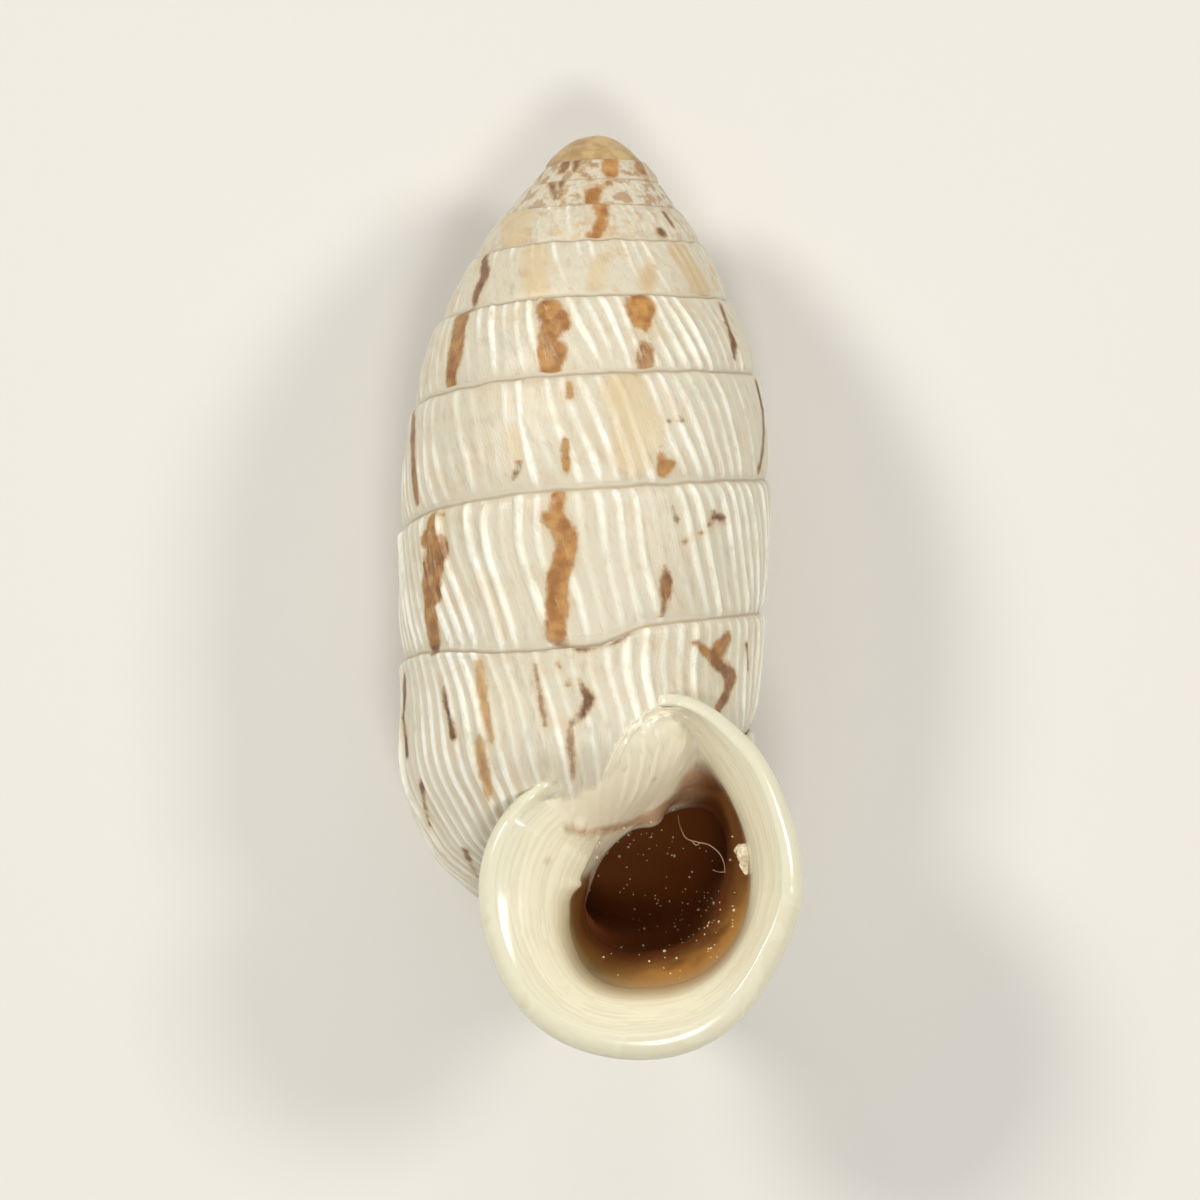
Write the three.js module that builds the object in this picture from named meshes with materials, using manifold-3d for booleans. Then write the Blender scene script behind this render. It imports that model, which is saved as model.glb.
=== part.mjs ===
// A Cerion land-snail shell, lying on its back with its mouth up. Millimetres.
// Its axis runs along Y with the apex at +Y. The mouth opens towards +Z, and the last whorl
// reaches it from the right, at +X, as in any right-handed shell.
import * as THREE from "three";
import { LoftGeometry } from "three/addons/geometries/LoftGeometry.js";
import { mergeGeometries, mergeVertices } from "three/addons/utils/BufferGeometryUtils.js";
import Module from "manifold-3d";

const wasm = await Module();
wasm.setup();

// Driving dimensions

// The suture, where each whorl meets the one before, as radius and height above the mouth's lowest
// edge, once per turn from the edge of the smooth nucleus. The last one is past the mouth.
const SUTURE_PER_TURN = [
  [1.32, 26.35],
  [1.8, 25.82],
  [2.4, 25.04],
  [3.1, 24.02],
  [3.93, 22.4],
  [4.76, 20.36],
  [5.21, 17.33],
  [5.18, 13.52],
  [4.99, 9.87],
  [4.95, 5.85],
];
const APEX_HEIGHT = 27;
const WHORLS = 10;
const WHORL_BULGE = 0.035; // of the whorl's radius
const SHOULDER = 0.1; // share of a whorl's height in which its wall swells to full width

// Points of the base as radius and height, between the last whorl's wall and the pole of the base:
// where the mouth's roof begins, half a turn on, and at the mouth.
const BASE_PROFILES = [
  [[4.08, 8.42], [2.3, 7.3], [0.75, 6.4], [0.4, 4.9]],
  [[4.72, 7.0], [3.95, 5.75], [2.65, 4.7], [1.2, 3.9]],
  [[4.75, 4.3], [3.9, 2.95], [2.6, 2.25], [1.1, 2.6]],
];
const BASE_POLE = 3.4;

const RIBS_PER_TURN = 50;
const RIB_HEIGHT = 0.1;
const RIB_LEAN = 2; // columns of the mesh from a whorl's top to its bottom
const FIRST_RIBBED_TURN = 3;
const FULL_RIBS_TURN = 7;
const FIRST_SHOULDERED_TURN = 3; // the whorls above it are flat-sided

// The mouth, as radii about its centre at the twelve clock hours, anticlockwise from 3 o'clock
const MOUTH_CENTRE = new THREE.Vector2(2.43, 5.02);
const NECK = [3.05, 3.3, 4.5, 4.7, 3.3, 2.5, 2.55, 2.95, 3.35, 3.15, 3.1, 3.05];
const LIP_EDGE = [4.25, 4.4, 5.0, 5.42, 3.75, 4.6, 4.98, 5.05, 5.2, 5.02, 4.64, 4.27];
const THROAT = [2.76, 2.96, 3.44, 3.5, 2.8, 2.1, 2.18, 2.7, 3.1, 2.93, 2.87, 2.78];
const INNER_WALL = [2.25, 2.6, 3.1, 2.05, 1.8, 1.8, 1.82, 1.9, 2.25, 2.35, 2.35, 2.25];
const NECK_Z = 3.1;
const FLARE_Z = 3.75;
const FLARE_SHARE = 0.4; // of the way from the neck to the lip's edge
const LIP_CREST_Z = 4.95;
// The lip's rounding, from behind to the crest: how far in from its edge and below its crest
const LIP_ROUNDING = [[0.1, 0.66], [0, 0.36], [0.1, 0.09], [0.32, 0]];
const CREST_WIDTH = 0.55; // from the lip's edge to where the funnel starts
// The funnel, from the throat out: share of the way from crest to throat, and depth below the crest
const FUNNEL = [[0.8, 0.75], [0.3, 0.2], [0, 0.04]];
const THROAT_Z = 3.35;
const NARROWING = [0.6, 1.9]; // share of the way from the throat to the inner wall, and its z
const FLOOR_Z = 0.8;
// The mouth's two low teeth: a nub on its roof and a fold on the columella
const ROOF_TOOTH = { centre: [2.4, 6.95, 1], size: [0.55, 0.95, 1.8] };
const COLUMELLA_FOLD = { centre: [0.2, 4.95, 2.4], size: [0.55, 0.6, 2.2] };
const CAVITY_START_Z = [0.95, 0.5];
const CAVITY_TURNS = 0.65;
const CAVITY_TAPER = 0.56; // share of its size that the cavity loses per turn inwards
const LAST_WHORL_PITCH = 3.9;

const REST_HEIGHT = 5.2; // from the flat spot to the axis
const REST_POINT = new THREE.Vector2(0, 13.5); // middle of the flat spot
const REST_BLOCK = new THREE.Vector3(20, 40, 4); // what is taken away below the flat spot

const COLUMNS = 2 * RIBS_PER_TURN;
const ROWS_IN_WHORL = [0, SHOULDER, 0.6];
const BASE_ROWS = 6;
const MOUTH_SIDES = 36;
const TUBE_STEPS = 8;
const CAVITY_SIDES = 18;
const CAVITY_STEPS = 7;

const smooth = (low, high, x) => THREE.MathUtils.smoothstep(x, low, high);

// A geometry as a closed solid for cutting and joining.
function solidFrom(geometry) {
  const bare = new THREE.BufferGeometry();
  bare.setAttribute("position", geometry.attributes.position);
  bare.setIndex(geometry.index);
  const merged = mergeVertices(bare, 1e-4);
  const corners = merged.index.array;
  const kept = [];
  for (let i = 0; i < corners.length; i += 3) {
    const [a, b, c] = [corners[i], corners[i + 1], corners[i + 2]];
    if (a !== b && b !== c && c !== a) kept.push(a, b, c);
  }
  return new wasm.Manifold(
    new wasm.Mesh({
      numProp: 3,
      vertProperties: merged.attributes.position.array,
      triVerts: new Uint32Array(kept),
    }),
  );
}

// The envelope of the whorls at a turn count from the apex: a dome over the nucleus for one turn,
// and the suture's own line after it.
const sutureLine = new THREE.SplineCurve(SUTURE_PER_TURN.map(([r, y]) => new THREE.Vector2(r, y)));
function envelope(turn) {
  const [edgeRadius, edgeHeight] = SUTURE_PER_TURN[0];
  if (turn < 2) {
    const a = (Math.max(turn - 1, 0) * Math.PI) / 2;
    const drop = (APEX_HEIGHT - edgeHeight) * (1 - Math.cos(a));
    return new THREE.Vector2(edgeRadius * Math.sin(a), APEX_HEIGHT - drop);
  }
  return sutureLine.getPoint((turn - 2) / (SUTURE_PER_TURN.length - 1));
}

// How far a whorl's wall stands out of the envelope, from its upper suture (0) to its lower one (1).
// A free wall, one that no later whorl meets, doesn't turn in again at its lower edge.
function swelling(down, freedom) {
  const shoulder = Math.sqrt(Math.min(down / SHOULDER, 1));
  const tuck = 1 - down ** 4;
  return shoulder * THREE.MathUtils.lerp(tuck, 1, freedom);
}

const ribAt = (column) => (column % 2 ? -0.5 : 0.5);

// A point of the coil's section at a turn and a share of a whorl down from its upper suture.
function whorlPoint(turn, rowDown, column, freedom) {
  const down = turn < FIRST_SHOULDERED_TURN && rowDown < 0.5 ? 0 : rowDown;
  const here = envelope(turn + down);
  const next = envelope(turn + down + 0.02);
  const outward = new THREE.Vector2(here.y - next.y, next.x - here.x).normalize();
  const grown = smooth(2.4, 5, turn);
  const bulge = WHORL_BULGE * here.x * grown * swelling(down, freedom);
  const ribbed = smooth(FIRST_RIBBED_TURN, FULL_RIBS_TURN, turn);
  const rib = RIB_HEIGHT * ribbed * ribAt(column) * swelling(down, freedom);
  return here.addScaledVector(outward, bulge + rib);
}

// The base's points at a share of the last turn, from the wall's lower edge to the pole.
function basePoints(turned, start) {
  const pair = turned < 0.5 ? [0, 1] : [1, 2];
  const share = turned < 0.5 ? 2 * turned : 2 * turned - 1;
  const between = BASE_PROFILES[pair[0]].map((from, i) => {
    const to = BASE_PROFILES[pair[1]][i];
    return new THREE.Vector2(...from).lerp(new THREE.Vector2(...to), share);
  });
  const curve = new THREE.SplineCurve([start, ...between, new THREE.Vector2(0, BASE_POLE)]);
  return curve.getPoints(BASE_ROWS).slice(1);
}

// One meridian of the coil, from the apex to the pole of the base, as radius and height.
function meridian(column) {
  const turned = column / COLUMNS;
  const points = [];
  for (let whorl = 0; whorl < WHORLS; whorl++) {
    const freedom = whorl === WHORLS - 1 ? smooth(0, 0.12, turned) : 0;
    ROWS_IN_WHORL.forEach((down) => {
      points.push(whorlPoint(whorl + turned, down, column, freedom));
    });
  }
  const freedom = smooth(0, 0.12, turned);
  const wallEnd = whorlPoint(WHORLS - 1 + turned, 1, column, freedom);
  points.push(wallEnd);
  points.push(...basePoints(turned, wallEnd));
  return points;
}

// Each rib leans: the rows between two sutures are turned a little against each other.
function leanOf(row) {
  const wallRows = WHORLS * ROWS_IN_WHORL.length;
  if (row >= wallRows) return 0;
  const down = ROWS_IN_WHORL[row % ROWS_IN_WHORL.length];
  return down === 0 ? 0 : RIB_LEAN * (0.4 - down);
}

// The outline of the tube where the last turn ends: down its wall, and back up the wall of the
// whorl before it.
function endOutline() {
  const lastWhorl = (WHORLS - 1) * ROWS_IN_WHORL.length;
  const end = meridian(COLUMNS).slice(lastWhorl);
  const roof = meridian(0).slice(lastWhorl + ROWS_IN_WHORL.length + 1, -1);
  return [...end, ...roof.reverse()];
}

// The solid coil. Its meridians join edge to edge one whorl apart, and where the last turn ends
// the gap that is left is closed by a flat face, the section of the tube.
function coil() {
  const sections = [];
  for (let column = 0; column <= COLUMNS; column++) {
    const section = meridian(column).map((p, row) => {
      const inner = column > 0 && column < COLUMNS ? leanOf(row) : 0;
      const angle = ((column + inner) / COLUMNS) * 2 * Math.PI;
      return new THREE.Vector3(p.x * Math.cos(angle), p.y, p.x * Math.sin(angle));
    });
    sections.push(section);
  }
  const wall = new LoftGeometry(sections.map((s) => s.slice().reverse()), { closed: false });
  const face = new THREE.ShapeGeometry(new THREE.Shape(endOutline()));
  return mergeGeometries([wall, face]);
}

// A closed curve about the mouth's centre through twelve clock radii.
function clockCurve(radii) {
  const points = radii.map((r, hour) => {
    const angle = (hour / radii.length) * 2 * Math.PI;
    return new THREE.Vector3(r * Math.cos(angle), r * Math.sin(angle), 0);
  });
  return new THREE.CatmullRomCurve3(points, true);
}

const ring = (radii, sides) => clockCurve(radii).getPoints(sides).slice(0, sides);

const blend = (from, to, share) => from.map((p, i) => p.clone().lerp(to[i], share));
const grow = (points, by) => points.map((p) => p.clone().setLength(p.length() + by));

// The outline of the coil's end face about the mouth's centre, at the same angles as the ring. On
// the roof's side it is a little larger, to run inside the wall of the whorl before it.
const TOWARDS_ROOF = new THREE.Vector2(-0.45, 0.89);
const ROOF_OVERLAP = 0.2;
function endRing() {
  const outline = endOutline().map((p) => p.sub(MOUTH_CENTRE));
  return ring(NECK, MOUTH_SIDES).map((p) => {
    const ray = new THREE.Vector2(p.x, p.y).normalize();
    const along = outline.map((from, i) => {
      const to = outline[(i + 1) % outline.length];
      const [a, b] = [ray.cross(from), ray.cross(to)];
      const facing = ray.dot(from) + ray.dot(to) > 0;
      return a * b <= 0 && facing ? from.clone().lerp(to, a / (a - b)).dot(ray) : 0;
    });
    const buried = ROOF_OVERLAP * smooth(-0.15, 0.2, ray.dot(TOWARDS_ROOF));
    return new THREE.Vector3(ray.x, ray.y, 0).setLength(Math.max(...along) + buried);
  });
}

// A solid lofted through stations along the mouth's axis, each a ring and its z.
function mouthLoft(stations) {
  const sections = stations.map(([points, z]) =>
    points.map((p) => new THREE.Vector3(MOUTH_CENTRE.x + p.x, MOUTH_CENTRE.y + p.y, z)),
  );
  return solidFrom(new LoftGeometry(sections, { capStart: true, capEnd: true }));
}

const neck = ring(NECK, MOUTH_SIDES);
const lipEdge = ring(LIP_EDGE, MOUTH_SIDES);
const throatRing = ring(THROAT, MOUTH_SIDES);
const innerRing = ring(INNER_WALL, MOUTH_SIDES);

// The tube's last stretch, straight forward and still ribbed on its outside, and the thick rolled
// lip it flares into.
function lipOutside() {
  const end = endRing();
  const tube = Array.from({ length: TUBE_STEPS }, (_, step) => {
    const share = step / (TUBE_STEPS - 1);
    const rib = RIB_HEIGHT * ribAt(step) * (step > 0 ? 1 : 0);
    const points = blend(end, neck, share ** 1.5).map((p) => {
      const outer = smooth(-0.4, 0.6, p.x / p.length());
      return p.setLength(p.length() + rib * outer);
    });
    return [points, NECK_Z * share];
  });
  return mouthLoft([
    [grow(end, -0.06), -0.3],
    ...tube,
    [blend(neck, lipEdge, FLARE_SHARE), FLARE_Z],
    ...LIP_ROUNDING.map(([inward, below]) => [grow(lipEdge, -inward), LIP_CREST_Z - below]),
  ]);
}

// The funnel inside the lip, narrowing to the throat and on to the tube's inner wall.
function throat() {
  const crest = grow(lipEdge, -CREST_WIDTH);
  const [narrowed, narrowedZ] = NARROWING;
  return mouthLoft([
    [innerRing, FLOOR_Z],
    [blend(throatRing, innerRing, narrowed), narrowedZ],
    [throatRing, THROAT_Z],
    ...FUNNEL.map(([share, below]) => [blend(crest, throatRing, share), LIP_CREST_Z - below]),
    [grow(crest, 0.15), LIP_CREST_Z + 0.1], // clear of the crest
  ]);
}

// The hollow of the last whorl, from inside the throat back round the axis.
function cavity() {
  const sections = CAVITY_START_Z.map((z) =>
    ring(INNER_WALL, CAVITY_SIDES).map((p) => {
      return new THREE.Vector3(MOUTH_CENTRE.x + p.x, MOUTH_CENTRE.y + p.y, z);
    }),
  );
  for (let step = 0; step <= CAVITY_STEPS; step++) {
    const back = (step / CAVITY_STEPS) * CAVITY_TURNS;
    const rounding = step === CAVITY_STEPS ? 0.5 : 1;
    const size = (1 - CAVITY_TAPER * back) * rounding;
    const angle = -2 * Math.PI * back;
    sections.push(
      ring(INNER_WALL, CAVITY_SIDES).map((p) => {
        const r = MOUTH_CENTRE.x + size * p.x;
        const height = MOUTH_CENTRE.y + LAST_WHORL_PITCH * back + size * p.y;
        return new THREE.Vector3(r * Math.cos(angle), height, r * Math.sin(angle));
      }),
    );
  }
  return new LoftGeometry(sections.reverse(), { capStart: true, capEnd: true });
}

function tooth({ centre, size }) {
  const nub = new THREE.SphereGeometry(0.5, 12, 8);
  nub.scale(...size);
  nub.translate(...centre);
  return solidFrom(nub);
}

// What is worn flat under the shell where it rests.
function belowTheRest() {
  const block = new THREE.BoxGeometry(...REST_BLOCK);
  block.translate(REST_POINT.x, REST_POINT.y, -REST_HEIGHT - REST_BLOCK.z / 2);
  return solidFrom(block);
}

function shellGeometry() {
  const solid = lipOutside()
    .subtract(throat())
    .add(solidFrom(coil()))
    .subtract(solidFrom(cavity()))
    .add(tooth(ROOF_TOOTH))
    .add(tooth(COLUMELLA_FOLD))
    .subtract(belowTheRest());
  const { vertProperties, triVerts } = solid.getMesh();
  const geometry = new THREE.BufferGeometry();
  geometry.setAttribute("position", new THREE.BufferAttribute(vertProperties, 3));
  geometry.setIndex(new THREE.BufferAttribute(triVerts, 1));
  geometry.computeVertexNormals();
  return geometry;
}

const shell = new THREE.Mesh(
  shellGeometry(),
  new THREE.MeshStandardMaterial({ color: 0xe6decb, roughness: 0.35, metalness: 0 }),
);
shell.name = "shell";
shell.position.set(-REST_POINT.x, -REST_POINT.y, REST_HEIGHT);

const cerion = new THREE.Group();
cerion.add(shell);

export default cerion;
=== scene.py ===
import math
import random
from functools import partial

import bmesh
import bpy
import numpy as np
from mathutils import Matrix, Vector
from mathutils.bvhtree import BVHTree
from mathutils.kdtree import KDTree


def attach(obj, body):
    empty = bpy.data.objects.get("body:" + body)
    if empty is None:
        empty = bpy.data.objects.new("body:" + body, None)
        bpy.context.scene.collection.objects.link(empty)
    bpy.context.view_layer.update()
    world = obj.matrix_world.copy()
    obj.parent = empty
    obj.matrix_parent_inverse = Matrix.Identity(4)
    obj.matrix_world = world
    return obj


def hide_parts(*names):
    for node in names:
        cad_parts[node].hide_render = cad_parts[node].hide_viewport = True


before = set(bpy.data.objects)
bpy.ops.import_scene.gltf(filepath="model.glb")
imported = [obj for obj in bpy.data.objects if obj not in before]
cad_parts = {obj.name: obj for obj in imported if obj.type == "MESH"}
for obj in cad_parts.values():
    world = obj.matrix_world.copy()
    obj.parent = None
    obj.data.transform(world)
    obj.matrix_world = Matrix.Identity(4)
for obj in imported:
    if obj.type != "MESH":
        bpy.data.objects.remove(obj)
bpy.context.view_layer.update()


# Camera
# The shell lies on its back and is seen from 19 cm above its mouth, tipped a few degrees. Its
# points are in millimetres about its axis: x towards the outer lip, y up the axis from the
# mouth's lowest edge, and z up, towards the mouth.

MM = 0.001
REST_HEIGHT = 5.2  # from the flat spot up to the axis
REST_Y = 13.5  # from the mouth's lowest edge to the middle of the flat spot
PICTURE_PX = 1200
PX_PER_MM = 34.18
CAMERA_DISTANCE = 190.0
CAMERA_PITCH = 0.0785
CAMERA_YAW = 0.026
CAMERA_ROLL = 0.033
AIM_POINT = Vector((0.6, 13.5, 0.0))
AIM_PX = Vector((602.8, 597.9))  # where the aim point lies in the picture


def placed(point):
    return Vector((point[0], point[1] - REST_Y, point[2] + REST_HEIGHT)) * MM


camera_turn = (
    Matrix.Rotation(CAMERA_PITCH, 3, "X")
    @ Matrix.Rotation(CAMERA_YAW, 3, "Y")
    @ Matrix.Rotation(CAMERA_ROLL, 3, "Z")
)
off_centre = (AIM_PX - Vector((PICTURE_PX / 2, PICTURE_PX / 2))) / PX_PER_MM
camera_point = AIM_POINT + camera_turn @ Vector((-off_centre.x, off_centre.y, CAMERA_DISTANCE))

camera = bpy.data.objects.new("camera", bpy.data.cameras.new("camera"))
camera.data.lens = camera.data.sensor_width * CAMERA_DISTANCE * PX_PER_MM / PICTURE_PX
camera.data.clip_start = 0.01
camera.location = placed(camera_point)
camera.rotation_euler = camera_turn.to_euler()
bpy.context.scene.collection.objects.link(camera)
bpy.context.scene.camera = camera


def sight_line(px, py):
    """The direction from the camera through a pixel of the picture."""
    across = (px - PICTURE_PX / 2) / PX_PER_MM
    up = (PICTURE_PX / 2 - py) / PX_PER_MM
    return (camera_turn @ Vector((across, up, -CAMERA_DISTANCE))).normalized()


# Whorls
# The snail laid the shell down as a tube of aragonite coiled about its axis, each whorl stuck to
# the one above along the suture, with a low rib at every short pause in its growth. The wall is
# cream white and lightly glossy, with brown flames where the mantle's edge laid down pigment.

SUTURE_PER_TURN = np.array(  # radius and height after each turn from the second on
    ((1.32, 26.32), (1.8, 25.74), (2.4, 24.95), (3.1, 23.93), (3.93, 22.3))
    + ((4.76, 20.18), (5.21, 17.1), (5.18, 13.26), (4.99, 9.87), (4.95, 5.85))
)
APEX_HEIGHT = 27.12
DOME_TURNS = (1, 2)  # between which a dome closes the spire
WHORLS = 10
SAG_TURN = 9.32  # where the last whorl's suture sags
SAG_DEPTH = 0.42
SAG_WIDTH = 0.19
STEP_TURNS = (9.185, 9.235, 9.27, 9.42)  # where it steps down and comes up again
STEP_DEPTH = 0.42
SUTURE_WAVES = ((0.03, 12, 21), (0.02, 70, 22))  # height, pace and draw of its small waves
WAVY_TURNS = (3, 5)  # over which they set in
SUTURE_HOLD = 6  # how soon the wall is free of its sutures' waves
WHORL_BULGE = 0.035  # of the whorl's radius
BULGING_TURNS = (2.4, 5)
NUCLEUS_TURNS = (1.0, 1.5, 2, 2.4)
NUCLEUS_BULGE = 1.8
SHOULDER = 0.07  # share of a whorl's height in which its wall swells to full width
TUCK = 7  # how late the wall draws in above the next suture
LOOSENING = 0.12  # turns in which the last whorl's lower edge comes free
BASE_PROFILES = np.array(  # from the wall's lower edge inwards
    (
        ((4.08, 8.42), (2.3, 7.3), (0.75, 6.4), (0.4, 4.9)),
        ((4.72, 7.0), (3.95, 5.75), (2.65, 4.7), (1.2, 3.9)),
        ((4.75, 4.3), (3.9, 2.95), (2.6, 2.25), (1.1, 2.6)),
    )
)
BASE_POLE = 3.4
RIBS_PER_TURN = 66
RIB_RISE = 0.152
WALL_LEVEL = 0.3  # of the ribs' rise
RIB_SHARPNESS = 2.2
RIB_WAVER = 0.2
RIB_SLANTS = (0.4, 0.17)  # millimetres round for each one down, upper and last whorls
SLANT_TURNS = (8.2, 9.2)  # between which the slant changes
RIB_BEND = 0.3
RIBBED_TURNS = (1.6, 3.2)  # over which the ribs set in
GROWING_TURNS = (4.4, 7.4)  # over which they gain their full depth
FAINTEST_RIBS = (0.16, 0.84)  # their depth before that, and what they gain
LEAST_TURNS = (8.9, 9.2)
LEAST_RIBS = (0.1, 0.45)  # the least depth, and what the last whorl adds to it
STRONGEST_RIBS = 1.25
RIB_ENDS = ((0, 0.05), (0.9, 1), (1.45, 1.9))  # where they fade by each suture and on the base
RIB_SHADE = 1.6
COLUMNS = 6 * RIBS_PER_TURN
WHORL_ROWS = 20
ROW_CROWDING = (1.35, 1.25)  # how the rows close up by the upper and by the lower suture
ROW_SHARES = (0.45, 0.55)
BASE_ROWS = 26
ROUNDED_ROWS = 9  # to each side of the edge between the last wall and the base
ROUNDING_PASSES = 30
HALF_DENSITY_WHORLS = 5  # the upper whorls, which have half the columns
WELD = 0.002
chance = random.Random(7)


def smoothstep(low, high, x):
    share = np.clip((x - low) / (high - low), 0, 1)
    return share * share * (3 - 2 * share)


def plateau(ends, x):
    """1 between the middle two of four ends, and 0 before the first and after the last."""
    return smoothstep(*ends[:2], x) * (1 - smoothstep(*ends[2:], x))


def curve_through(points, share):
    """Points at shares of a Catmull-Rom curve; points run along the axis before the last."""
    count = points.shape[-2]
    at = np.clip(share, 0, 1) * (count - 1)
    first = np.minimum(np.floor(at).astype(int), count - 2)
    t = (at - first)[..., None]
    before = points[..., np.maximum(first - 1, 0), :]
    start = points[..., first, :]
    end = points[..., first + 1, :]
    after = points[..., np.minimum(first + 2, count - 1), :]
    leave, arrive = (end - before) / 2, (after - start) / 2
    return (
        (2 * start - 2 * end + leave + arrive) * t**3
        + (3 * end - 3 * start - 2 * leave - arrive) * t**2
        + leave * t
        + start
    )


def envelope(turn):
    """Radius and height of the suture's line at a count of turns from the apex."""
    edge_radius, edge_height = SUTURE_PER_TURN[0]
    outwards = np.clip(turn - DOME_TURNS[0], 0, 1)
    drop = (APEX_HEIGHT - edge_height) * outwards**2
    dome = np.stack((edge_radius * outwards, APEX_HEIGHT - drop), -1)
    line = curve_through(SUTURE_PER_TURN, (turn - DOME_TURNS[1]) / (len(SUTURE_PER_TURN) - 1))
    return np.where((turn < DOME_TURNS[1])[..., None], dome, line)


def wander(x, seed):
    """A smooth, uneven value between about -1 and 1."""
    rng = random.Random(seed)
    waves = [(rng.uniform(0.6, 2.4), rng.uniform(0, 6.28)) for _ in range(5)]
    return sum(np.sin(x * pitch + phase) for pitch, phase in waves) / 2.6


def unevenness(turn):
    """How far the suture's line strays up from its even course."""
    sag = SAG_DEPTH * np.exp(-(((turn - SAG_TURN) / SAG_WIDTH) ** 2))
    sag = sag + STEP_DEPTH * plateau(STEP_TURNS, turn)
    waves = sum(height * wander(turn * pace, draw) for height, pace, draw in SUTURE_WAVES)
    return waves * smoothstep(*WAVY_TURNS, turn) - sag


rib_count = RIBS_PER_TURN * (WHORLS + 3)
rib_strengths = np.array([chance.uniform(0.25, 1.0) ** 1.5 for _ in range(rib_count)])
rib_breaks = np.array([chance.uniform(0, 6.28) for _ in range(rib_count)])


def growth_at(turn, down, height, radius):
    """When a place of the wall was laid down, in turns: the ribs follow lines of equal growth."""
    fall = np.minimum(down, 1.2) - 0.5
    slant = RIB_SLANTS[0] + (RIB_SLANTS[1] - RIB_SLANTS[0]) * smoothstep(*SLANT_TURNS, turn)
    lean = slant * height * (fall + RIB_BEND * fall**2) / (math.tau * np.maximum(radius, 0.5))
    return turn + lean + 0.002 * wander(turn * 7 + 4 * down, 14)


def rib_crest(growth, turn, down):
    """0 between two ribs and up to 1 on a rib's crest, with the strength that the rib has."""
    sway = 0.3 * wander(turn * 9 + down * 1.5, 11) + 0.16 * wander(turn * 31 - down, 12)
    phase = RIBS_PER_TURN * growth + sway
    nearest = np.clip(np.round(phase).astype(int), 0, rib_count - 1)
    bump = (0.5 + 0.5 * np.cos(math.tau * phase)) ** RIB_SHARPNESS
    waver = 1 - RIB_WAVER + RIB_WAVER * np.sin(5 * down + rib_breaks[nearest])
    return bump * rib_strengths[nearest] * waver


def rib_depth(turn, down):
    """How strongly a stretch of wall is ribbed."""
    grown = FAINTEST_RIBS[0] + FAINTEST_RIBS[1] * smoothstep(*GROWING_TURNS, turn)
    patchy = 0.62 + 0.75 * wander(turn * 5.5 + 1.2 * down, 5) + 0.2 * wander(down * 6 + turn * 3, 6)
    least = LEAST_RIBS[0] + LEAST_RIBS[1] * smoothstep(*LEAST_TURNS, turn)
    return grown * np.clip(patchy, least, STRONGEST_RIBS) * smoothstep(*RIBBED_TURNS, turn)


def woven(rows):
    """A sheet of faces through rows of places."""
    sheet = bmesh.new()
    bmesh.ops.create_grid(sheet, x_segments=rows.shape[1] - 1, y_segments=len(rows) - 1, size=1)
    for vert, place in zip(sheet.verts, rows.reshape(-1, 3)):
        vert.co = place
    return sheet


def thin_out(sheet, columns, kept, below):
    """Dissolve a sheet's columns below an index, apart from every kept one."""
    spare = []
    for edge in sheet.edges:
        start, end = (vert.index for vert in edge.verts)
        if start % columns == end % columns and start % columns % kept and max(start, end) < below:
            spare.append(edge)
    bmesh.ops.dissolve_edges(sheet, edges=spare, use_verts=True)


def close_ends(tube, weld):
    """Weld a tube's seam and its poles and fill its open ends, whose edges are returned."""
    bmesh.ops.remove_doubles(tube, verts=tube.verts, dist=weld)
    open_edges = [edge for edge in tube.edges if edge.is_boundary]
    bmesh.ops.holes_fill(tube, edges=open_edges)
    return open_edges


share_round = np.linspace(0, 1, COLUMNS + 1)
row_downs = np.linspace(0, 1, WHORL_ROWS + 1)[:-1] ** ROW_CROWDING[0]
row_downs = ROW_SHARES[0] * row_downs + ROW_SHARES[1] * (1 - (1 - row_downs) ** ROW_CROWDING[1])
wall_turns, wall_downs = [], []
for whorl in range(WHORLS):
    for down in row_downs:
        wall_turns.append(whorl + share_round)
        wall_downs.append(np.full_like(share_round, down))
wall_turns.append(WHORLS - 1 + share_round)
wall_downs.append(np.ones_like(share_round))
turns, downs = np.array(wall_turns), np.array(wall_downs)

line = envelope(turns + downs)
ahead = envelope(turns + downs + 0.02)
outward = np.stack((line[..., 1] - ahead[..., 1], ahead[..., 0] - line[..., 0]), -1)
outward /= np.maximum(np.linalg.norm(outward, axis=-1, keepdims=True), 1e-9)
loosened = smoothstep(0, LOOSENING, share_round)
freedom = np.zeros_like(turns)
freedom[(WHORLS - 1) * WHORL_ROWS :] = loosened
tuck = 1 - downs**TUCK
swelling = np.sqrt(np.minimum(downs / SHOULDER, 1)) * (tuck * (1 - freedom) + freedom)
grown = smoothstep(*BULGING_TURNS, turns) + NUCLEUS_BULGE * plateau(NUCLEUS_TURNS, turns)
wall = line + outward * (WHORL_BULGE * line[..., 0] * grown * swelling)[..., None]
upper_sway = unevenness(turns) * (1 - downs) ** SUTURE_HOLD
wall[..., 1] += upper_sway + unevenness(turns + 1) * downs**SUTURE_HOLD

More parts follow.
